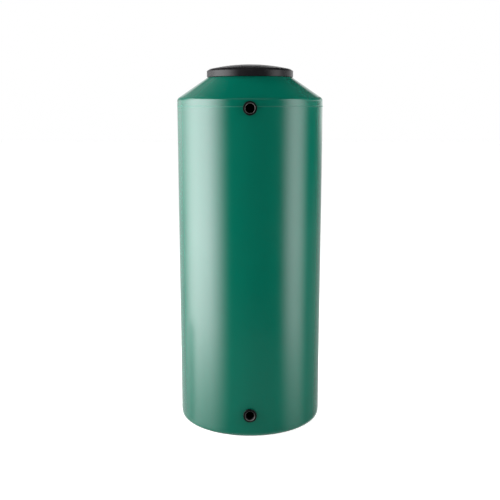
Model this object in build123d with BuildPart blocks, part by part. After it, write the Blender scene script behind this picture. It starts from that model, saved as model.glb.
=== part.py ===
"""Slimline water tank: a moulded shell with a screw lid and two threaded wall fittings.

Millimetres, +Z up. The origin is the middle of the flat base, and the fittings face -Y.
"""

import os
from math import cos, radians, sin, sqrt, tan

from build123d import *

# Moulded shell
tank_diameter = 735.0
wall = 6.0
shoulder_height = 1659.0
shoulder_slope = 34.2
base_edge_radius = 13.4
shoulder_edge_radius = 22.0

# Neck around the manhole
neck_radius = 206.0
neck_length = 26.6
neck_root_radius = 5.0
rim_edge_chamfer = 1.0

# Coarse screw thread that the neck and the lid share
thread_starts = 2
thread_lead = 24.0
ridge_height = 4.0
ridge_embed = 1.0
rim_margin = 3.0
neck_foot_margin = 3.2
skirt_foot_margin = 2.4
lid_thread_turns = 0.5
flank_clearance = 0.2
crest_clearance = 1.2

# Screw lid
lid_wall = 4.0
skirt_clearance = 3.0
skirt_foot_clearance = 0.9
crown_band_width = 15.0
crown_band_rise = 9.5
dome_rise = 23.0
crown_edge_radius = 2.5
dome_foot_radius = 6.0
skirt_lip_chamfer = 1.2
locating_ring_depth = 8.0
locating_ring_thickness = 3.0
locating_clearance = 2.0
rib_count = 8
rib_thickness = 3.0
rib_depth = 8.0
rib_hub_radius = 30.0

# Seal between the rim of the neck and the lid
seal_thickness = 3.0
seal_width = 6.4
seal_clearance = 0.5

# Threaded wall fittings
lower_fitting_height = 114.0
upper_fitting_margin = 4.0
socket_radius = 23.9
socket_depth = 28.0
socket_step = 3.4
mouth_chamfer = 1.2
fitting_wall = 4.4
flange_width = 4.7
flange_thickness = 12.0
flange_edge_chamfer = 1.6
shank_spare = 4.0
shank_end_chamfer = 1.5
hole_clearance = 1.2
piece_clearance = 0.3

# Gaskets, washer and nut of each fitting
outer_gasket_thickness = 3.0
outer_gasket_inset = 0.6
inner_gasket_thickness = 4.0
inner_gasket_width = 9.4
gasket_seat_gap = 0.1
slip_washer_thickness = 2.5
slip_washer_inset = 1.0
nut_wall = 6.4
nut_height = 16.0
nut_collar_height = 3.0
nut_collar_margin = 0.6
nut_corner_chamfer = 3.0

# Shell worked out from the sizes above
tank_radius = tank_diameter / 2
shoulder_tangent = tan(radians(shoulder_slope))
neck_foot_height = shoulder_height + (tank_radius - neck_radius) * shoulder_tangent
neck_top_height = neck_foot_height + neck_length
manhole_radius = neck_radius - wall

# Thread worked out from the room on the neck
thread_pitch = thread_lead / thread_starts
ridge_root_width = thread_pitch / 2
ridge_crest_width = thread_pitch / 4
neck_ridge_start = neck_foot_height + neck_foot_margin + ridge_root_width / 2
neck_ridge_end = neck_top_height - rim_margin - ridge_root_width / 2
neck_thread_turns = (neck_ridge_end - neck_ridge_start) / thread_lead
ridge_crest_radius = neck_radius + ridge_height
lid_ridge_crest_radius = neck_radius + crest_clearance
thread_drop = (ridge_root_width + ridge_crest_width) / 2 + flank_clearance

# Lid worked out from the neck that it screws on
skirt_inner_radius = ridge_crest_radius + skirt_clearance
lid_radius = skirt_inner_radius + lid_wall
dome_radius = lid_radius - crown_band_width
locating_ring_radius = manhole_radius - locating_clearance
ring_inner_radius = locating_ring_radius - locating_ring_thickness
rib_end_radius = locating_ring_radius - locating_ring_thickness / 2
seal_inner_radius = locating_ring_radius + seal_clearance
seal_outer_radius = seal_inner_radius + seal_width
seat_height = neck_top_height + seal_thickness
ring_foot_height = seat_height - locating_ring_depth
band_slope = crown_band_rise / crown_band_width
band_drop = lid_wall * sqrt(1 + band_slope**2)
dome_foot_height = seat_height + band_drop + (seal_outer_radius - dome_radius) * band_slope
crown_edge_height = dome_foot_height - crown_band_rise
skirt_top_height = crown_edge_height + lid_wall * band_slope - band_drop
skirt_foot_height = (
    shoulder_height
    + (tank_radius - skirt_inner_radius) * shoulder_tangent
    + skirt_foot_clearance
)
sphere_radius = (dome_radius**2 + dome_rise**2) / (2 * dome_rise)
sphere_height = dome_foot_height + dome_rise - sphere_radius

# Lid thread on the helix of the neck's thread, a drop below it, from the skirt's foot up
lid_ridge_start = skirt_foot_height + skirt_foot_margin + ridge_root_width / 2
lid_thread_angle = 360 * (lid_ridge_start + thread_drop - neck_ridge_start) / thread_lead

# Radii of each fitting's pieces
waterway_radius = socket_radius - socket_step
shank_radius = socket_radius + fitting_wall
flange_radius = shank_radius + flange_width
wall_hole_radius = shank_radius + hole_clearance
piece_bore_radius = shank_radius + piece_clearance
outer_gasket_radius = flange_radius - outer_gasket_inset
inner_gasket_radius = piece_bore_radius + inner_gasket_width
nut_flat_radius = piece_bore_radius + nut_wall
nut_collar_radius = nut_flat_radius / cos(radians(30)) + nut_collar_margin
slip_washer_radius = nut_collar_radius - slip_washer_inset
upper_fitting_height = shoulder_height - nut_collar_radius - upper_fitting_margin

# Faces of each fitting's pieces, as distances from the tank's axis
flange_back = tank_radius + outer_gasket_thickness
flange_face = flange_back + flange_thickness
socket_end = flange_face - socket_depth
inner_gasket_face = tank_radius - wall - inner_gasket_thickness
slip_washer_face = inner_gasket_face - slip_washer_thickness
nut_end = slip_washer_face - nut_height
shank_end = nut_end - shank_spare


def tank_face(inset):
    """Face of half the tank's section, with its outline moved inward by an inset."""
    corner_drop = inset * (1 - sin(radians(shoulder_slope))) / cos(radians(shoulder_slope))
    with BuildSketch(Plane.XZ) as half_section:
        with BuildLine():
            FilletPolyline(
                (0, inset),
                (tank_radius - inset, inset),
                (tank_radius - inset, shoulder_height - corner_drop),
                (neck_radius - inset, neck_foot_height - corner_drop),
                (neck_radius - inset, neck_top_height),
                radius=(
                    max(base_edge_radius - inset, 0),
                    max(shoulder_edge_radius - inset, 0),
                    neck_root_radius + inset,
                ),
            )
            Polyline((neck_radius - inset, neck_top_height), (0, neck_top_height), (0, inset))
        make_face()
    return half_section.sketch


def tank_solid(inset):
    """The whole tank as a solid, with its surface moved inward by an inset."""
    with BuildPart() as solid:
        add(tank_face(inset))
        revolve(axis=Axis.Z)
    return solid.part


def thread_ridge(root_radius, crest_radius, start_height, turns):
    """One start of the coarse thread, beginning on the +X side."""
    with BuildPart() as ridge:
        with BuildLine() as path:
            Helix(
                pitch=thread_lead,
                height=thread_lead * turns,
                radius=root_radius,
                center=(0, 0, start_height),
            )
        with BuildSketch(Plane.XZ):
            with BuildLine():
                Polyline(
                    (root_radius, start_height - ridge_root_width / 2),
                    (crest_radius, start_height - ridge_crest_width / 2),
                    (crest_radius, start_height + ridge_crest_width / 2),
                    (root_radius, start_height + ridge_root_width / 2),
                    close=True,
                )
            make_face()
        sweep(path=path.line, is_frenet=True)
    return ridge.part


def dome_point(radius, depth):
    """The point of the lid's section at a radius, a depth under the outside of the dome."""
    return (radius, sphere_height + sqrt((sphere_radius - depth) ** 2 - radius**2))


def corner_at(section, across, up):
    """The corner of a section that lies nearest to a point in its plane."""
    return section.vertices().sort_by_distance((across, up))[0]


# Tank shell: base, wall, cone shoulder and neck in one moulding, cut open at the rim
neck_ridge = thread_ridge(
    neck_radius - ridge_embed, ridge_crest_radius, neck_ridge_start, neck_thread_turns
)
with BuildPart() as tank_shell:
    add(tank_solid(0))
    add(tank_solid(wall), mode=Mode.SUBTRACT)
    rim_edges = tank_shell.edges().filter_by(GeomType.CIRCLE).group_by(Axis.Z)[-1]
    chamfer(rim_edges, length=rim_edge_chamfer)
    with PolarLocations(0, thread_starts):
        add(neck_ridge)
    with BuildSketch(Plane.XZ.offset(tank_radius)):
        with Locations((0, upper_fitting_height), (0, lower_fitting_height)):
            Circle(wall_hole_radius)
    extrude(amount=-2 * wall, mode=Mode.SUBTRACT)
tank_shell.part.label = "tank_shell"

# Stiffening rib of the lid, which follows the inside of the dome
with BuildPart() as lid_rib:
    with BuildSketch(Plane.XZ):
        with BuildLine():
            RadiusArc(
                dome_point(rib_hub_radius, lid_wall / 2),
                dome_point(rib_end_radius, lid_wall / 2),
                sphere_radius - lid_wall / 2,
            )
            RadiusArc(
                dome_point(rib_hub_radius, lid_wall + rib_depth),
                dome_point(rib_end_radius, lid_wall + rib_depth),
                sphere_radius - lid_wall - rib_depth,
            )
            for radius in (rib_hub_radius, rib_end_radius):
                Line(dome_point(radius, lid_wall / 2), dome_point(radius, lid_wall + rib_depth))
        make_face()
    extrude(amount=rib_thickness / 2, both=True)

# Lid: a thin domed cap with a threaded skirt, a locating ring and ribs that meet at a hub
lid_ridge = thread_ridge(
    skirt_inner_radius + ridge_embed, lid_ridge_crest_radius, lid_ridge_start, lid_thread_turns
)
with BuildPart() as lid:
    with BuildSketch(Plane.XZ) as lid_section:
        with BuildLine():
            RadiusArc(dome_point(0, 0), dome_point(dome_radius, 0), sphere_radius)
            Polyline(
                dome_point(dome_radius, 0),
                (lid_radius, crown_edge_height),
                (lid_radius, skirt_foot_height),
                (skirt_inner_radius, skirt_foot_height),
                (skirt_inner_radius, skirt_top_height),
                (seal_outer_radius, seat_height),
                (locating_ring_radius, seat_height),
                (locating_ring_radius, ring_foot_height),
                (ring_inner_radius, ring_foot_height),
                dome_point(ring_inner_radius, lid_wall),
            )
            RadiusArc(
                dome_point(ring_inner_radius, lid_wall),
                dome_point(0, lid_wall),
                lid_wall - sphere_radius,
            )
            Line(dome_point(0, lid_wall), dome_point(0, 0))
        make_face()
        fillet(corner_at(lid_section, lid_radius, crown_edge_height), crown_edge_radius)
        fillet(corner_at(lid_section, dome_radius, dome_foot_height), dome_foot_radius)
        chamfer(corner_at(lid_section, lid_radius, skirt_foot_height), skirt_lip_chamfer)
    revolve(axis=Axis.Z)
    with PolarLocations(0, thread_starts, start_angle=lid_thread_angle):
        add(lid_ridge)
    with PolarLocations(0, rib_count):
        add(lid_rib.part)
    with BuildSketch(Plane.XY.offset(dome_point(rib_hub_radius, lid_wall + rib_depth)[1])):
        Circle(rib_hub_radius + rib_thickness / 2)
        Circle(rib_hub_radius - rib_thickness / 2, mode=Mode.SUBTRACT)
    extrude(amount=rib_depth + lid_wall / 2)
lid.part.label = "lid"

# Seal: a flat ring, cut from sheet, that lies on the rim of the neck
with BuildPart() as lid_seal:
    with BuildSketch(Plane.XY.offset(neck_top_height)):
        Circle(seal_outer_radius)
        Circle(seal_inner_radius, mode=Mode.SUBTRACT)
    extrude(amount=seal_thickness)
lid_seal.part.label = "lid_seal"

# Wall fittings: each is a flanged socket drawn tight through the wall by a nut inside
pieces = [tank_shell, lid, lid_seal]
for place, height in (("upper", upper_fitting_height), ("lower", lower_fitting_height)):
    fitting_axis = Axis((0, 0, height), (0, 1, 0))

    # Socket body: a round flange, a threaded socket and a shank through the wall
    with BuildPart() as fitting_body:
        with BuildSketch(Plane.XY.offset(height)):
            with BuildLine():
                Polyline(
                    (socket_radius + mouth_chamfer, -flange_face),
                    (flange_radius - flange_edge_chamfer, -flange_face),
                    (flange_radius, flange_edge_chamfer - flange_face),
                    (flange_radius, -flange_back),
                    (shank_radius, -flange_back),
                    (shank_radius, -shank_end - shank_end_chamfer),
                    (shank_radius - shank_end_chamfer, -shank_end),
                    (waterway_radius, -shank_end),
                    (waterway_radius, -socket_end),
                    (socket_radius, -socket_end),
                    (socket_radius, mouth_chamfer - flange_face),
                    close=True,
                )
            make_face()
        revolve(axis=fitting_axis)
    fitting_body.part.label = f"{place}_fitting_body"

    # Outer gasket, pressed between the flange and the curved outside of the wall
    with BuildPart() as outer_gasket:
        with BuildSketch(Plane.XZ.offset(flange_back)):
            with Locations((0, height)):
                Circle(outer_gasket_radius)
                Circle(piece_bore_radius, mode=Mode.SUBTRACT)
        extrude(amount=-outer_gasket_thickness - wall)
        add(tank_solid(-gasket_seat_gap), mode=Mode.SUBTRACT)
    outer_gasket.part.label = f"{place}_outer_gasket"

    # Inner gasket, whose outer side follows the inside of the wall
    with BuildPart() as inner_gasket:
        with BuildSketch(Plane.XZ.offset(inner_gasket_face)):
            with Locations((0, height)):
                Circle(inner_gasket_radius)
                Circle(piece_bore_radius, mode=Mode.SUBTRACT)
        extrude(amount=inner_gasket_thickness + wall)
        add(tank_solid(wall + gasket_seat_gap), mode=Mode.INTERSECT)
    inner_gasket.part.label = f"{place}_inner_gasket"

    # Slip washer, which lets the nut turn without dragging the gasket
    with BuildPart() as slip_washer:
        with BuildSketch(Plane.XZ.offset(slip_washer_face)):
            with Locations((0, height)):
                Circle(slip_washer_radius)
                Circle(piece_bore_radius, mode=Mode.SUBTRACT)
        extrude(amount=slip_washer_thickness)
    slip_washer.part.label = f"{place}_slip_washer"

    # Lock nut: a hexagon with its outer corners turned off, on a round collar
    with BuildPart() as lock_nut:
        with BuildSketch(Plane.XZ.offset(nut_end)):
            with Locations((0, height)):
                RegularPolygon(nut_flat_radius, side_count=6, major_radius=False)
        extrude(amount=nut_height)
        with BuildSketch(Plane.XY.offset(height)):
            with BuildLine():
                Polyline(
                    (0, -nut_end),
                    (nut_collar_radius - nut_corner_chamfer, -nut_end),
                    (nut_collar_radius, -nut_end - nut_corner_chamfer),
                    (nut_collar_radius, -slip_washer_face),
                    (0, -slip_washer_face),
                    close=True,
                )
            make_face()
        revolve(axis=fitting_axis, mode=Mode.INTERSECT)
        with BuildSketch(Plane.XZ.offset(slip_washer_face)):
            with Locations((0, height)):
                Circle(nut_collar_radius)
        extrude(amount=-nut_collar_height)
        with BuildSketch(Plane.XZ.offset(nut_end)):
            with Locations((0, height)):
                Circle(piece_bore_radius)
        extrude(amount=nut_height, mode=Mode.SUBTRACT)
    lock_nut.part.label = f"{place}_lock_nut"

    pieces += [fitting_body, outer_gasket, inner_gasket, slip_washer, lock_nut]

os.makedirs("parts", exist_ok=True)
for piece in pieces:
    export_step(piece.part, f"parts/{piece.part.label}.step")
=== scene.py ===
"""Slimline water tank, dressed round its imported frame.

The shell is rotationally moulded green polyethylene, the lid and the wall fittings are black
moulded plastic. Metres, +Z up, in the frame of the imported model.
"""

from math import asin, ceil, cos, pi, radians, sin, tan

import bmesh
import bpy
from bpy.props import FloatProperty, FloatVectorProperty, IntProperty, PointerProperty
from mathutils import Matrix, Vector


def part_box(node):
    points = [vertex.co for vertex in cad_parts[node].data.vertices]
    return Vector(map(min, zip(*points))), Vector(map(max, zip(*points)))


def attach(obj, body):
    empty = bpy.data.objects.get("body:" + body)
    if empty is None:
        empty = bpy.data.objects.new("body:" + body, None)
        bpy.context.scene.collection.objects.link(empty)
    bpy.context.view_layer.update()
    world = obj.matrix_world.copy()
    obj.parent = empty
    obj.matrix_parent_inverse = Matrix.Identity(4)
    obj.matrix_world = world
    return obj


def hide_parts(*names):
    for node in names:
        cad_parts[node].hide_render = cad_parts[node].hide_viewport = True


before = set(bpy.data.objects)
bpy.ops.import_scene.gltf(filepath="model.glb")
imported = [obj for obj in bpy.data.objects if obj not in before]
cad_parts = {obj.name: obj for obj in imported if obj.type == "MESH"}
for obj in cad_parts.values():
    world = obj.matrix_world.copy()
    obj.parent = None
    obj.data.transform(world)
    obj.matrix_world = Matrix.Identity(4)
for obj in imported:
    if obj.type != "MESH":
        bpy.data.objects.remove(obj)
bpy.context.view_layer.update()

bl_info = {
    "name": "Slimline water tank",
    "version": (1, 0, 0),
    "blender": (4, 5, 0),
    "location": "3D View > Sidebar > Water tank",
    "description": "Finishes a moulded water tank, its screw lid and its threaded wall fittings",
    "category": "Object",
}

PLACES = ("upper", "lower")
MILLIMETRE = 0.001
WHITE = (1, 1, 1, 1)

# Nearly all values of a noise texture lie between these two.
NOISE_SPAN = {"From Min": 0.3, "From Max": 0.7}


def linear(code):
    """A six-digit sRGB hex colour as linear red, green and blue."""
    shares = [int(code[place:place + 2], 16) / 255 for place in (0, 2, 4)]
    return [s / 12.92 if s <= 0.04045 else ((s + 0.055) / 1.055) ** 2.4 for s in shares]


def colour_property(name, description, code):
    """A colour that the panel shows, with its default given as sRGB hex."""
    return FloatVectorProperty(
        name=name, description=description, default=linear(code), subtype="COLOR",
        size=3, min=0, max=1,
    )


def length_property(name, description, millimetres):
    """A length that the panel shows, with its default given in millimetres."""
    return FloatProperty(
        name=name, description=description, default=millimetres * MILLIMETRE,
        unit="LENGTH", min=0, precision=4,
    )


def roughness_property(name, description, default):
    """A roughness between polished and matt."""
    return FloatProperty(
        name=name, description=description, default=default, subtype="FACTOR", min=0, max=1,
    )


def glow_property(name, description, default):
    """The radiance of a card, a lamp or the surroundings, where one is white."""
    return FloatProperty(name=name, description=description, default=default, min=0)


class ShellSettings(bpy.types.PropertyGroup):
    """Finish of the moulded shell and its parting line."""

    green: colour_property("Green", "Pigment of the polyethylene", "006552")
    pale_green: colour_property("Pale green", "Where the powder melted a little paler", "006D5A")
    sheen: colour_property("Sheen", "Mirrored light, less green than the body", "FFF3FB")
    roughness: roughness_property("Roughness", "Skin that copies the mould", 0.16)
    trimmed_roughness: roughness_property("Trimmed roughness", "Skin of the parting line", 0.3)
    seam_height: length_property("Seam height", "Height of the mould's parting line", 1622)
    seam_width: length_property("Seam width", "Width of the mould's parting line", 6)
    seam_rise: length_property("Seam rise", "How far the parting line stands proud", 0.5)


class LidSettings(bpy.types.PropertyGroup):
    """Finish of the lid, the seal, the gaskets and the washers."""

    black: colour_property("Black", "Polypropylene of the lid", "1F1E20")
    rubber: colour_property("Rubber", "Seal and gaskets", "161616")
    washer: colour_property("Washer", "Natural polyethylene of the slip washers", "D8D6CC")
    roughness: roughness_property("Roughness", "Skin of the lid", 0.25)
    rubber_roughness: roughness_property("Rubber roughness", "Skin of the rubber", 0.62)


class FittingSettings(bpy.types.PropertyGroup):
    """Sizes and finish of the threaded wall fittings."""

    black: colour_property("Black", "Glass-filled nylon of the fittings", "0C0C0D")
    # Painted highlight: a pale grey on the socket's lip and first threads, standing in for the
    # light they mirror.
    painted_lip_highlight: colour_property("Scuffed", "Where pipes have rubbed the lip", "6A6967")
    roughness: roughness_property("Roughness", "Skin of the nylon", 0.3)
    # How far into the socket the painted highlight reaches.
    painted_highlight_depth: length_property("Scuffed depth", "How far in the threads are scuffed", 6)
    thread_pitch: length_property("Thread pitch", "Eleven turns to the inch", 2.309)
    thread_depth: length_property("Thread depth", "Height of the socket's pipe thread", 1.48)
    socket_radius: length_property("Socket radius", "Root radius of the socket's thread", 23.9)
    socket_depth: length_property("Socket depth", "From the face to the step", 28)
    waterway_radius: length_property("Waterway radius", "Bore behind the step", 20.5)
    mouth_chamfer: length_property("Mouth chamfer", "Lead-in of the socket", 1.0)
    mouth_radius: length_property("Mouth radius", "Round between the lead-in and the face", 0.3)
    flange_thickness: length_property("Flange thickness", "From the face to the gasket", 12)
    edge_radius: length_property("Edge radius", "Round of the flange's front edge", 0.8)
    back_radius: length_property("Back radius", "Round of the flange's back edge", 0.5)
    shank_radius: length_property("Shank radius", "Root radius of the shank's thread", 28.3)
    shank_thread_depth: length_property("Shank thread depth", "Height of its thread", 1.3)
    plain_end: length_property("Plain end", "After each thread, and the shank's chamfer", 1.5)
    segments: IntProperty(
        name="Segments", description="Facets round a fitting", default=144, min=24,
    )


class StageSettings(bpy.types.PropertyGroup):
    """Camera, floor, cards and lamps of the studio."""

    camera_distance: length_property("Camera distance", "In front of the tank's axis", 4052)
    camera_height: length_property("Camera height", "Above the floor", 1638.8)
    camera_tilt: FloatProperty(
        name="Camera tilt", description="Below the horizon", default=radians(10.613),
        subtype="ANGLE",
    )
    lens: FloatProperty(
        name="Lens", description="Focal length in millimetres", default=56.56, unit="CAMERA",
    )
    floor: colour_property("Floor", "Pale studio floor", "F2F2F0")
    floor_lift: glow_property("Floor lift", "Glow that brings the seen floor to white", 0.6)
    ambient: glow_property("Ambient", "Light from all round", 0.47)
    panel_glow: glow_property("Panel glow", "Panel in the dark ceiling", 0.5)
    left_glow: glow_property("Left glow", "Box of the left highlight", 9.6)
    foot_glow: glow_property("Foot glow", "Strip at the foot of the left highlight", 2.0)
    right_glow: glow_property("Right glow", "Box of the right highlight", 4.1)
    apron_glow: glow_property("Apron glow", "Dark floor in front of the tank", 0.18)
    flag_glow: glow_property("Flag glow", "Dark flag beside the right box", 0.24)
    left_back_glow: glow_property("Left back glow", "Backdrop behind the left edge", 0.759)
    right_back_glow: glow_property("Right back glow", "Backdrop behind the right edge", 0.528)
    rim_glow: glow_property("Rim glow", "Backdrop high up behind the right edge", 1.4)
    haze_glow: glow_property("Haze glow", "High up behind the left side of the cone", 0.36)
    shade_glow: glow_property("Shade glow", "High up behind the right side of the cone", 0.3)
    dome_glow: glow_property("Dome glow", "High up straight behind the lid", 1.0)
    left_wing_glow: glow_property("Left wing glow", "Behind the left end of the lid", 1.5)
    right_wing_glow: glow_property("Right wing glow", "Behind the right end of the lid", 1.2)
    left_fill: glow_property("Left fill", "Left lamp on matt faces", 11.6)
    right_fill: glow_property("Right fill", "Right lamp on matt faces", 4.6)
    top_fill: glow_property("Top fill", "Top lamp on matt faces", 12.5)
    edge_fill: glow_property("Edge fill", "Lamp above the right edge on matt faces", 10)


def add_node(tree, kind, inputs=None, **settings):
    """Adds a node, sets its properties, and links or fills its inputs.

    An input takes a plain value, a socket, or a node, whose first output is linked.
    """
    node = tree.nodes.new(kind)
    for name, value in settings.items():
        setattr(node, name, value)
    for socket, value in (inputs or {}).items():
        if isinstance(value, bpy.types.Node):
            value = value.outputs[0]
        if isinstance(value, bpy.types.NodeSocket):
            tree.links.new(value, node.inputs[socket])
        else:
            node.inputs[socket].default_value = value
    return node


def empty_material(name):
    """A material with nodes and nothing in its tree."""
    material = bpy.data.materials.new(name)
    material.use_nodes = True
    material.node_tree.nodes.clear()
    return material


def rotomoulded_polyethylene(name, shell, roughness):
    """Linear low-density polyethylene, sintered from powder on the inside of a heated mould.

    It is satin with soft, clear highlights: the skin copies the mould, with a slight orange peel
    from the sintered grains and long shallow waves from uneven cooling. The grains are half a
    millimetre across and are drawn four times as coarse, so that they can show at all. The
    parting line is duller, because its flash was trimmed with a blade.
    """
    material = empty_material(name)
    tree = material.node_tree
    place = add_node(tree, "ShaderNodeTexCoord").outputs["Object"]
    grains = add_node(
        tree, "ShaderNodeTexNoise",
        {"Vector": place, "Scale": 1 / (2.2 * MILLIMETRE), "Detail": 3},
    )
    clouds = add_node(
        tree, "ShaderNodeTexNoise",
        {"Vector": place, "Scale": 1 / (160 * MILLIMETRE), "Detail": 4, "Roughness": 0.55},
    )
    waves = add_node(
        tree, "ShaderNodeTexNoise",
        {"Vector": place, "Scale": 1 / (110 * MILLIMETRE), "Detail": 1},
    )
    peel = add_node(
        tree, "ShaderNodeTexNoise",
        {"Vector": place, "Scale": 1 / (7 * MILLIMETRE), "Detail": 2},
    )
    mottle = add_node(tree, "ShaderNodeMath", {0: grains, 1: clouds}, operation="MULTIPLY")
    paleness = add_node(
        tree, "ShaderNodeMapRange", {**NOISE_SPAN, "Value": mottle, "To Min": 0, "To Max": 0.35},
    )
    tone = add_node(
        tree, "ShaderNodeMix",
        {"Factor": paleness, "A": (*shell.green, 1), "B": (*shell.pale_green, 1)},
        data_type="RGBA",
    )
    dullness = add_node(
        tree, "ShaderNodeMapRange",
        {**NOISE_SPAN, "Value": clouds, "To Min": roughness - 0.02, "To Max": roughness + 0.02},
    )
    swell = add_node(tree, "ShaderNodeBump", {"Height": waves, "Distance": 0.12 * MILLIMETRE})
    skin = add_node(
        tree, "ShaderNodeBump",
        {"Height": peel, "Distance": 0.02 * MILLIMETRE, "Normal": swell},
    )
    surface = add_node(
        tree, "ShaderNodeBsdfPrincipled",
        {
            "Base Color": tone.outputs["Result"],
            "Roughness": dullness,
            "Normal": skin,
            "IOR": 1.51,
            "Specular Tint": (*shell.sheen, 1),
        },
    )
    add_node(tree, "ShaderNodeOutputMaterial", {"Surface": surface})
    return material


def grained_surface(tree, colour, grain, roughness, ior, level=0.5):
    """Surface of a dark moulding, with the fine spark-eroded grain of its mould.

    The real grain, a tenth of a millimetre, is too fine to show, so that each material draws it
    as coarse as it needs. The specular level is below a half where the grain swallows light.
    """
    place = add_node(tree, "ShaderNodeTexCoord").outputs["Object"]
    sparks = add_node(
        tree, "ShaderNodeTexNoise", {"Vector": place, "Scale": 1 / grain, "Detail": 2},
    )
    flow = add_node(
        tree, "ShaderNodeTexNoise", {"Vector": place, "Scale": 1 / (30 * grain), "Detail": 3},
    )
    dullness = add_node(
        tree, "ShaderNodeMapRange",
        {**NOISE_SPAN, "Value": flow, "To Min": roughness - 0.03, "To Max": roughness + 0.04},
    )
    skin = add_node(tree, "ShaderNodeBump", {"Height": sparks, "Distance": grain / 40})
    surface = add_node(
        tree, "ShaderNodeBsdfPrincipled",
        {
            "Base Color": colour,
            "Roughness": dullness,
            "Normal": skin,
            "IOR": ior,
            "Specular IOR Level": level,
        },
    )
    add_node(tree, "ShaderNodeOutputMaterial", {"Surface": surface})


def moulded_polypropylene(lid):
    """Black polypropylene, injection moulded: broad grey sheens that keep the black deep."""
    material = empty_material("moulded_black_polypropylene")
    grained_surface(
        material.node_tree, (*lid.black, 1), grain=1.2 * MILLIMETRE, roughness=lid.roughness,
        ior=1.49, level=0.17,
    )
    return material


def pressed_rubber(lid):
    """EPDM sheet rubber, pressed and cut: a dull dark grey with a faint cloth mark."""
    material = empty_material("pressed_epdm_rubber")
    grained_surface(
        material.node_tree, (*lid.rubber, 1), grain=0.9 * MILLIMETRE,
        roughness=lid.rubber_roughness, ior=1.52,
    )
    return material


def nylon_with_painted_highlight(sizes):
    """Glass-filled nylon, black and dull, with a painted highlight on the lip and the first
    threads.

    There a pale grey, broken up by noise, stands in for the light that the mouth of the socket
    mirrors, so that it shows as a grey crescent against its dark bore.
    """
    material = empty_material("glass_filled_black_nylon")
    tree = material.node_tree
    place = add_node(tree, "ShaderNodeTexCoord").outputs["Object"]
    across = add_node(
        tree, "ShaderNodeVectorMath", {0: place, 1: (1, 0, 1)}, operation="MULTIPLY",
    )
    radius = add_node(tree, "ShaderNodeVectorMath", {0: across}, operation="LENGTH")
    inside = add_node(
        tree, "ShaderNodeMath",
        {0: radius.outputs["Value"], 1: sizes.socket_radius + sizes.mouth_chamfer},
        operation="LESS_THAN",
    )
    depth = add_node(tree, "ShaderNodeSeparateXYZ", {0: place}).outputs["Y"]
    shallow = add_node(
        tree, "ShaderNodeMapRange",
        {
            "Value": depth, "From Min": sizes.painted_highlight_depth, "From Max": 0.6 * sizes.painted_highlight_depth,
            "To Min": 0, "To Max": 1,
        },
    )
    highlight_noise = add_node(
        tree, "ShaderNodeTexNoise",
        {"Vector": place, "Scale": 1 / (2 * MILLIMETRE), "Detail": 3},
    )
    highlight_breakup = add_node(
        tree, "ShaderNodeMapRange", {**NOISE_SPAN, "Value": highlight_noise, "To Min": 0.6, "To Max": 1},
    )
    # Painted highlight: the lip and the first threads, broken up by noise, take the pale grey.
    mouth = add_node(tree, "ShaderNodeMath", {0: inside, 1: shallow}, operation="MULTIPLY")
    painted_highlight_mask = add_node(tree, "ShaderNodeMath", {0: mouth, 1: highlight_breakup}, operation="MULTIPLY")
    tone = add_node(
        tree, "ShaderNodeMix",
        {"Factor": painted_highlight_mask, "A": (*sizes.black, 1), "B": (*sizes.painted_lip_highlight, 1)},
        data_type="RGBA",
    )
    grained_surface(
        tree, tone.outputs["Result"], grain=0.7 * MILLIMETRE, roughness=sizes.roughness,
        ior=1.53, level=0.17,
    )
    return material


def natural_polyethylene(lid):
    """Unpigmented high-density polyethylene, stamped from sheet: milky, with a waxy sheen."""
    material = empty_material("natural_hdpe_sheet")
    tree = material.node_tree
    place = add_node(tree, "ShaderNodeTexCoord").outputs["Object"]
    streaks = add_node(
        tree, "ShaderNodeTexNoise",
        {"Vector": place, "Scale": 1 / (3 * MILLIMETRE), "Detail": 2},
    )
    dullness = add_node(
        tree, "ShaderNodeMapRange",
        {**NOISE_SPAN, "Value": streaks, "To Min": 0.4, "To Max": 0.48},
    )
    skin = add_node(tree, "ShaderNodeBump", {"Height": streaks, "Distance": 0.02 * MILLIMETRE})
    surface = add_node(
        tree, "ShaderNodeBsdfPrincipled",
        {
            "Base Color": (*lid.washer, 1),
            "Roughness": dullness,
            "Normal": skin,
            "IOR": 1.54,
            "Subsurface Weight": 0.3,
            "Subsurface Scale": 2 * MILLIMETRE,
        },
    )
    add_node(tree, "ShaderNodeOutputMaterial", {"Surface": surface})
    return material


def paint(thing, material):
    """Gives an object one material in its only slot."""
    thing.data.materials.clear()
    thing.data.materials.append(material)


def add_object(name, mesh):
    """Turns a bmesh into an object of the scene, and frees it."""
    data = bpy.data.meshes.new(name)
    mesh.to_mesh(data)
    mesh.free()
    thing = bpy.data.objects.new(name, data)
    bpy.context.scene.collection.objects.link(thing)
    return thing


def finish_mesh(mesh, name, place, body, material, crease=35):
    """Welds a mesh, turns its faces outward, and puts it in place as a piece of the tank.

    Edges that bend by more than the crease, in degrees, stay sharp.
    """
    bmesh.ops.remove_doubles(mesh, verts=mesh.verts, dist=1e-7)
    bmesh.ops.recalc_face_normals(mesh, faces=mesh.faces)
    for face in mesh.faces:
        face.smooth = True
    for edge in mesh.edges:
        edge.smooth = edge.calc_face_angle(0) < radians(crease)
    piece = add_object(name, mesh)
    piece.location = place
    paint(piece, material)
    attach(piece, body)
    return piece


def join_rows(mesh, rows):
    """Fills the space between each row of points and the next with four-sided faces."""
    for lower, upper in zip(rows, rows[1:]):
        for place in range(len(lower) - 1):
            mesh.faces.new((lower[place], lower[place + 1], upper[place + 1], upper[place]))


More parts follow.
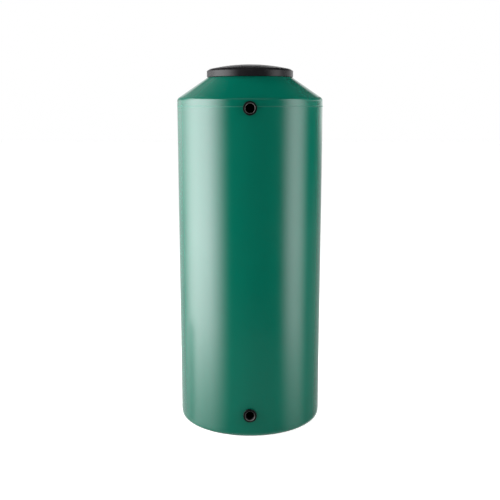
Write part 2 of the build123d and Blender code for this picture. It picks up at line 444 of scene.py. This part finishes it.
def rounded(corners, steps=6):
    """A profile whose corners, each (radius, depth, fillet), are rounded by arcs."""
    points = []
    for number, (across, along, fillet) in enumerate(corners):
        corner = Vector((across, along))
        if not fillet:
            points.append(corner)
            continue
        before = Vector(corners[number - 1][:2]) - corner
        after = Vector(corners[(number + 1) % len(corners)][:2]) - corner
        before.normalize()
        after.normalize()
        half = before.angle(after) / 2
        centre = corner + (before + after).normalized() * (fillet / sin(half))
        first = corner + before * (fillet / tan(half)) - centre
        sweep = first.angle_signed(corner + after * (fillet / tan(half)) - centre)
        for step in range(steps + 1):
            points.append(centre + Matrix.Rotation(-sweep * step / steps, 2) @ first)
    return points


def on_axis(radius, depth, angle):
    """A point round a fitting's axis: depth runs inward from the flange's face."""
    return Vector((radius * cos(angle), depth, radius * sin(angle)))


def turn_profile(mesh, points, segments):
    """Turns an open profile of (radius, depth) points round the fitting's axis."""
    rings = []
    for radius, depth in points:
        ring = [
            mesh.verts.new(on_axis(radius, depth, 2 * pi * place / segments))
            for place in range(segments)
        ]
        rings.append([*ring, ring[0]])
    join_rows(mesh, rings)


def cut_thread(mesh, root, crest, start, end, pitch, segments, samples=8):
    """A stretch of screw thread between two plain circles of the root's radius.

    Its rows follow the helix, so that crests and roots stay sharp, and fade out at both ends.
    """
    turns = (end - start) / pitch
    rows = []
    for row in range(ceil(samples * (turns + 1)) + 1):
        height = 0.5 - 0.5 * cos(2 * pi * row / samples)
        helix = []
        for place in range(segments + 1):
            share = place / segments
            depth = start + (row / samples - 1 + share) * pitch
            depth = min(max(depth, start), end)
            nearness = min((depth - start) / pitch, (end - depth) / pitch, 1)
            radius = root + (crest - root) * height * nearness
            helix.append(mesh.verts.new(on_axis(radius, depth, 2 * pi * share)))
        rows.append(helix)
    join_rows(mesh, rows)


def parting_line(shell, segments=360, steps=8):
    """The low ridge where the halves of the mould met, all round the wall.

    It breaks off in front, where the flange of the upper fitting covers both its ends.
    """
    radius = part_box("tank_shell")[1].x
    low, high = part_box("upper_outer_gasket")
    flange = (high.x - low.x) / 2
    tucked_share = 0.94
    gap = tucked_share * asin(flange / radius)
    mesh = bmesh.new()
    rows = []
    for step in range(steps + 1):
        across = 2 * step / steps - 1
        out = radius + shell.seam_rise * cos(across * pi / 2) ** 2
        height = shell.seam_height + across * shell.seam_width / 2
        row = []
        for place in range(segments + 1):
            angle = gap + (2 * pi - 2 * gap) * place / segments - pi / 2
            row.append(mesh.verts.new((out * cos(angle), out * sin(angle), height)))
        rows.append(row)
    join_rows(mesh, rows)
    return mesh


def threaded_socket(sizes, flange, thread_start, end):
    """The turned body of a fitting, whose depths run inward from the flange's face.

    Flange is the flange's radius, and the shank's thread starts at a given depth.
    """
    seat = sizes.flange_thickness
    bore_end = sizes.socket_depth - sizes.plain_end
    shank_end = end - sizes.plain_end
    mesh = bmesh.new()
    front = rounded([
        (sizes.socket_radius, sizes.mouth_chamfer, 0),
        (sizes.socket_radius + sizes.mouth_chamfer, 0, sizes.mouth_radius),
        (flange, 0, sizes.edge_radius),
        (flange, seat, sizes.back_radius),
        (sizes.shank_radius, seat, 0),
    ])
    plain_shank = [(sizes.shank_radius, seat), (sizes.shank_radius, thread_start)]
    back = [
        (sizes.shank_radius, shank_end),
        (sizes.shank_radius - sizes.plain_end, end),
        (sizes.waterway_radius, end),
        (sizes.waterway_radius, sizes.socket_depth),
        (sizes.socket_radius, sizes.socket_depth),
        (sizes.socket_radius, bore_end),
    ]
    for profile in (front, plain_shank, back):
        turn_profile(mesh, profile, sizes.segments)
    cut_thread(
        mesh, sizes.shank_radius, sizes.shank_radius + sizes.shank_thread_depth,
        thread_start, shank_end, sizes.thread_pitch, sizes.segments,
    )
    cut_thread(
        mesh, sizes.socket_radius, sizes.socket_radius - sizes.thread_depth,
        sizes.mouth_chamfer, bore_end, sizes.thread_pitch, sizes.segments,
    )
    return mesh


class TANK_OT_finish_shell(bpy.types.Operator):
    """Finishes the moulded shell and adds the parting line of its mould"""

    bl_idname = "tank.finish_shell"
    bl_label = "Finish shell"

    def execute(self, context):
        shell = context.scene.tank_shell
        skin = rotomoulded_polyethylene("rotomoulded_green_polyethylene", shell, shell.roughness)
        paint(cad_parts["tank_shell"], skin)
        trimmed = rotomoulded_polyethylene(
            "trimmed_green_polyethylene", shell, shell.trimmed_roughness,
        )
        finish_mesh(
            parting_line(shell), "mould_parting_line", (0, 0, 0), "tank", trimmed,
        )
        return {"FINISHED"}


class TANK_OT_finish_lid(bpy.types.Operator):
    """Finishes the screw lid"""

    bl_idname = "tank.finish_lid"
    bl_label = "Finish lid"

    def execute(self, context):
        paint(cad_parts["lid"], moulded_polypropylene(context.scene.tank_lid))
        return {"FINISHED"}


class TANK_OT_finish_gaskets(bpy.types.Operator):
    """Finishes the lid's seal, and the rubber gaskets and slip washers of both fittings"""

    bl_idname = "tank.finish_gaskets"
    bl_label = "Finish gaskets"

    def execute(self, context):
        lid = context.scene.tank_lid
        rubber = pressed_rubber(lid)
        milky = natural_polyethylene(lid)
        paint(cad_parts["lid_seal"], rubber)
        for place in PLACES:
            paint(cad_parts[f"{place}_outer_gasket"], rubber)
            paint(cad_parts[f"{place}_inner_gasket"], rubber)
            paint(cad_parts[f"{place}_slip_washer"], milky)
        return {"FINISHED"}


class TANK_OT_thread_fittings(bpy.types.Operator):
    """Makes both wall fittings with their pipe threads, and finishes their lock nuts"""

    bl_idname = "tank.thread_fittings"
    bl_label = "Thread fittings"

    def execute(self, context):
        sizes = context.scene.tank_fittings
        black = nylon_with_painted_highlight(sizes)
        for place in PLACES:
            node = f"{place}_fitting_body"
            low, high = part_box(node)
            flange = (high.x - low.x) / 2
            thread_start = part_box(f"{place}_slip_washer")[0].y - low.y
            mesh = threaded_socket(sizes, flange, thread_start, high.y - low.y)
            centre = (0, low.y, (low.z + high.z) / 2)
            body = finish_mesh(
                mesh, f"{place}_threaded_socket", centre, "tank", black,
            )
            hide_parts(node)
            paint(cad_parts[f"{place}_lock_nut"], black)
        return {"FINISHED"}


def background_rays(tree):
    """One where a ray should find the white background: seen, mirrored or through a clear thing."""
    path = add_node(tree, "ShaderNodeLightPath").outputs
    seen = add_node(
        tree, "ShaderNodeMath", {0: path["Is Camera Ray"], 1: path["Is Glossy Ray"]},
        operation="MAXIMUM",
    )
    return add_node(
        tree, "ShaderNodeMath", {0: seen, 1: path["Is Transmission Ray"]}, operation="MAXIMUM",
    )


def flat_card(name, width, length, place, material):
    """A flat rectangle of the studio, facing up."""
    mesh = bmesh.new()
    corners = [(-1, -1), (1, -1), (1, 1), (-1, 1)]
    mesh.faces.new([mesh.verts.new((x * width / 2, y * length / 2, 0)) for x, y in corners])
    card = add_object(name, mesh)
    card.location = place
    paint(card, material)
    return card


def lit_cloth(name, glow):
    """Cloth of a studio card, whose UV map says how dense it is and how far it glows."""
    material = empty_material(name)
    tree = material.node_tree
    place = add_node(tree, "ShaderNodeTexCoord").outputs["UV"]
    shares = add_node(tree, "ShaderNodeSeparateXYZ", {0: place}).outputs
    strength = add_node(tree, "ShaderNodeMath", {0: shares["Y"], 1: glow}, operation="MULTIPLY")
    light = add_node(tree, "ShaderNodeEmission", {"Strength": strength})
    clear = add_node(tree, "ShaderNodeBsdfTransparent")
    cloth = add_node(tree, "ShaderNodeMixShader", {0: shares["X"], 1: clear, 2: light})
    add_node(tree, "ShaderNodeOutputMaterial", {"Surface": cloth})
    return material


def only_mirrored(card):
    """Leaves a card to reflections: it blocks no light and the camera doesn't see it."""
    card.visible_camera = False
    card.visible_diffuse = False
    card.visible_transmission = False
    card.visible_shadow = False


def fade(share):
    """Smooth rise from nought to one."""
    share = min(max(share, 0), 1)
    return share * share * (3 - 2 * share)


def mirrored_card(name, profile, first, last, feathers, glow, segments=60):
    """A card round the tank that only reflections show, from (distance, height, glow) points.

    First and last are the directions, in degrees from the front towards +X, in which the wall
    mirrors its edges to the camera, and the feathers are the widths over which they fade.
    """
    mesh = bmesh.new()
    shares = mesh.loops.layers.uv.new("shares")
    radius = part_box("tank_shell")[1].x
    begin = first - feathers[0]
    end = last + feathers[1]
    rows = []
    values = {}
    for distance, height, share in profile:
        row = []
        for step in range(segments + 1):
            direction = begin + (end - begin) * step / segments
            turned = radians(direction)
            azimuth = turned - asin(radius / distance * sin(turned / 2))
            corner = mesh.verts.new((distance * sin(azimuth), -distance * cos(azimuth), height))
            inner = fade((direction - begin) / (2 * feathers[0]))
            outer = fade((end - direction) / (2 * feathers[1]))
            values[corner] = (inner * outer, share)
            row.append(corner)
        rows.append(row)
    join_rows(mesh, rows)
    for face in mesh.faces:
        for loop in face.loops:
            loop[shares].uv = values[loop.vert]
    card = add_object(name, mesh)
    paint(card, lit_cloth(name + "_cloth", glow))
    only_mirrored(card)


def matt_lamp(name, place, turn, width, length, radiance):
    """An area lamp of a given radiance that lights matt colour and adds no highlight."""
    data = bpy.data.lights.new(name, "AREA")
    data.shape = "RECTANGLE"
    data.size = width
    data.size_y = length
    data.energy = radiance * pi * width * length
    lamp = bpy.data.objects.new(name, data)
    bpy.context.scene.collection.objects.link(lamp)
    lamp.location = place
    lamp.rotation_euler = turn
    lamp.visible_glossy = False


def side_lamp(name, azimuth, radiance, distance=2.2, width=0.6, height=2.6):
    """A tall matt lamp that stands on the floor and faces the tank from an azimuth."""
    place = (distance * sin(azimuth), -distance * cos(azimuth), height / 2)
    matt_lamp(name, place, (pi / 2, 0, azimuth), width, height, radiance)


def set_camera(stage):
    """Sets the camera in front of the tank, at the height and tilt of the photograph."""
    data = bpy.data.cameras.new("camera")
    data.lens = stage.lens
    data.sensor_width = 36
    camera = bpy.data.objects.new("camera", data)
    bpy.context.scene.collection.objects.link(camera)
    camera.location = (0, -stage.camera_distance, stage.camera_height)
    camera.rotation_euler = (pi / 2 - stage.camera_tilt, 0, 0)
    bpy.context.scene.camera = camera


def set_surroundings(stage):
    """Surrounds the tank with even light, and with white where the background is seen."""
    world = bpy.data.worlds.new("studio")
    world.use_nodes = True
    tree = world.node_tree
    tree.nodes.clear()
    white = add_node(tree, "ShaderNodeBackground", {"Color": WHITE, "Strength": 1})
    dim = add_node(tree, "ShaderNodeBackground", {"Color": WHITE, "Strength": stage.ambient})
    either = add_node(
        tree, "ShaderNodeMixShader", {0: background_rays(tree), 1: dim, 2: white},
    )
    add_node(tree, "ShaderNodeOutputWorld", {"Surface": either})
    bpy.context.scene.world = world


def lay_floor(stage, side=60):
    """Lays a square of matt floor, which keeps the tank's shadow and is white where it is lit."""
    material = empty_material("pale_studio_floor")
    tree = material.node_tree
    matt = add_node(
        tree, "ShaderNodeBsdfDiffuse", {"Color": (*stage.floor, 1), "Roughness": 1},
    )
    lift = add_node(
        tree, "ShaderNodeMath", {0: background_rays(tree), 1: stage.floor_lift},
        operation="MULTIPLY",
    )
    glow = add_node(tree, "ShaderNodeEmission", {"Color": WHITE, "Strength": lift})
    both = add_node(tree, "ShaderNodeAddShader", {0: matt, 1: glow})
    add_node(tree, "ShaderNodeOutputMaterial", {"Surface": both})
    flat_card("studio_floor", side, side, (0, 0, 0), material)


def hang_ceiling(stage):
    """Hangs a dark ceiling with a dim panel, which the top of the lid and the cone mirror."""
    dark = flat_card("ceiling_flag", 12, 12, (0, 1.5, 3.1), lit_cloth("ceiling_cloth", 0))
    panel = flat_card(
        "ceiling_panel", 2, 1.2, (0, -1.6, 3.05), lit_cloth("panel_cloth", stage.panel_glow),
    )
    for card in (dark, panel):
        for loop in card.data.uv_layers.new(name="shares").data:
            loop.uv = (1, 1)
        only_mirrored(card)


def hang_cards(stage):
    """Hangs the cards that give the wall, the cone and the lid their mirrored tones.

    Most reach to the foot of the wall, one just above the other over the floor, because the wall
    mirrors the floor as well.
    """
    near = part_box("tank_shell")[1].x + 7.5 * MILLIMETRE
    behind = 2.9
    before = 2.88
    brow = 1.75
    top = 3.05

    # Two tall boxes draw the highlights down the wall, which grow dimmer towards the floor.
    sweep = [(near, 0.014, 0.21), (2.2, 0.014, 0.78), (2.2, 0.65, 1), (2.2, 3, 1)]
    mirrored_card("left_box", sweep, -111, -51.5, (25, 22), stage.left_glow)
    foot = [(near, 0.016, 0.4), (2.1, 0.016, 1)]
    mirrored_card("left_foot", foot, -124, -105, (8, 12), stage.foot_glow)
    mirrored_card("right_box", sweep, 59, 91, (14, 17), stage.right_glow)

    # The dark tones between the highlights and beside the right one.
    apron = [(near, 0.012, 1), (1.9, 0.012, 0.6), (2.6, 0.012, 0), (2.6, 3.1, 0)]
    mirrored_card("front_apron", apron, -75, 75, (10, 10), stage.apron_glow)
    dark = [(near, 0.011, 1), (2.4, 0.011, 1), (2.4, 0.6, 0.8), (2.4, 1.2, 0.1), (2.4, 3.1, 0)]
    mirrored_card("right_flag", dark, 85, 140, (15, 20), stage.flag_glow)

    # The wall's edges mirror a backdrop, which on the right is brighter high up.
    backdrop = [(near, 0.01, 1), (behind, 0.01, 1), (behind, brow, 1)]
    mirrored_card("left_backdrop", backdrop, -188, -112, (0.1, 8), stage.left_back_glow)
    mirrored_card("right_backdrop", backdrop, 122, 188, (18, 0.1), stage.right_back_glow)
    rim = [(before, 1.05, 0.38), (before, 1.3, 0.55), (before, 1.5, 0.9), (before, brow, 1)]
    mirrored_card("right_rim", rim, 128, 180, (8, 6), stage.rim_glow)

    # The cone and the lid's dome mirror what hangs above the backdrop and under the ceiling.
    haze = [(behind, brow, 1), (behind, top, 1), (1.9, top, 1), (0.8, top, 0)]
    mirrored_card("left_haze", haze, -165, -112, (4, 8), stage.haze_glow)
    shade = [(behind, brow, 1), (behind, top, 0.5), (1.9, top, 0.3), (0.8, top, 0)]
    mirrored_card("right_shade", shade, 100, 160, (8, 6), stage.shade_glow)
    middle = [(before, brow, 1), (before, 2.6, 1), (before, 2.8, 0), (before, 3.1, 0)]
    mirrored_card("left_middle", middle, -188, -165, (0.1, 4), stage.dome_glow)
    mirrored_card("right_middle", middle, 165, 188, (4, 0.1), stage.dome_glow)

    # The wings brighten the ends of the lid's skirt, the shoulder's corners and the left edge.
    left_wing = [(2.85, 0.1, 0.6), (2.85, 0.7, 0.65), (2.85, 1.45, 1), (2.85, 2.05, 1)]
    mirrored_card("left_wing", left_wing, -148, -120, (10, 10), stage.left_wing_glow)
    right_wing = [(2.3, 1.68, 0.6), (2.3, 1.78, 1), (2.3, 2.05, 1)]
    mirrored_card("right_wing", right_wing, 105, 158, (8, 8), stage.right_wing_glow)


def hang_lamps(stage):
    """Hangs the lamps that light the matt colour, from both sides and from above."""
    side_lamp("left_lamp", radians(-70), stage.left_fill)
    side_lamp("right_lamp", radians(55), stage.right_fill)
    from_behind = (radians(38), 0, radians(-120))
    matt_lamp("top_lamp", (-1.13, 0.65, 3.4), from_behind, 1, 1, stage.top_fill)
    from_right = (radians(65), 0, radians(100))
    matt_lamp("low_top_lamp", (1.7, 0.3, 2.5), from_right, 0.6, 0.6, stage.edge_fill)


class TANK_OT_set_stage(bpy.types.Operator):
    """Sets the camera, the pale floor, the studio's cards and the lamps"""

    bl_idname = "tank.set_stage"
    bl_label = "Set stage"

    def execute(self, context):
        stage = context.scene.tank_stage
        set_camera(stage)
        set_surroundings(stage)
        lay_floor(stage)
        hang_ceiling(stage)
        hang_cards(stage)
        hang_lamps(stage)
        context.scene.view_settings.view_transform = "Standard"
        return {"FINISHED"}


class TANK_PT_panel(bpy.types.Panel):
    """Lists the tank's pieces and the stage"""

    bl_idname = "TANK_PT_panel"
    bl_label = "Water tank"
    bl_space_type = "VIEW_3D"
    bl_region_type = "UI"
    bl_category = "Water tank"

    def draw(self, context):
        scene = context.scene
        for group, operators in GROUPS.items():
            box = self.layout.box()
            for operator in operators:
                box.operator(operator.bl_idname)
            settings = getattr(scene, group)
            for name in settings.__annotations__:
                box.prop(settings, name)


SETTINGS = {
    "tank_shell": ShellSettings,
    "tank_lid": LidSettings,
    "tank_fittings": FittingSettings,
    "tank_stage": StageSettings,
}
GROUPS = {
    "tank_shell": (TANK_OT_finish_shell,),
    "tank_lid": (TANK_OT_finish_lid, TANK_OT_finish_gaskets),
    "tank_fittings": (TANK_OT_thread_fittings,),
    "tank_stage": (TANK_OT_set_stage,),
}
OPERATORS = [operator for group in GROUPS.values() for operator in group]


def register():
    for settings in SETTINGS.values():
        bpy.utils.register_class(settings)
    for name, settings in SETTINGS.items():
        setattr(bpy.types.Scene, name, PointerProperty(type=settings))
    for operator in OPERATORS:
        bpy.utils.register_class(operator)
    bpy.utils.register_class(TANK_PT_panel)


def unregister():
    bpy.utils.unregister_class(TANK_PT_panel)
    for operator in reversed(OPERATORS):
        bpy.utils.unregister_class(operator)
    for name, settings in SETTINGS.items():
        delattr(bpy.types.Scene, name)
        bpy.utils.unregister_class(settings)


def main():
    """Runs every step in order."""
    register()
    bpy.ops.tank.finish_shell()
    bpy.ops.tank.finish_lid()
    bpy.ops.tank.finish_gaskets()
    bpy.ops.tank.thread_fittings()
    bpy.ops.tank.set_stage()


if __name__ == "__main__":
    main()
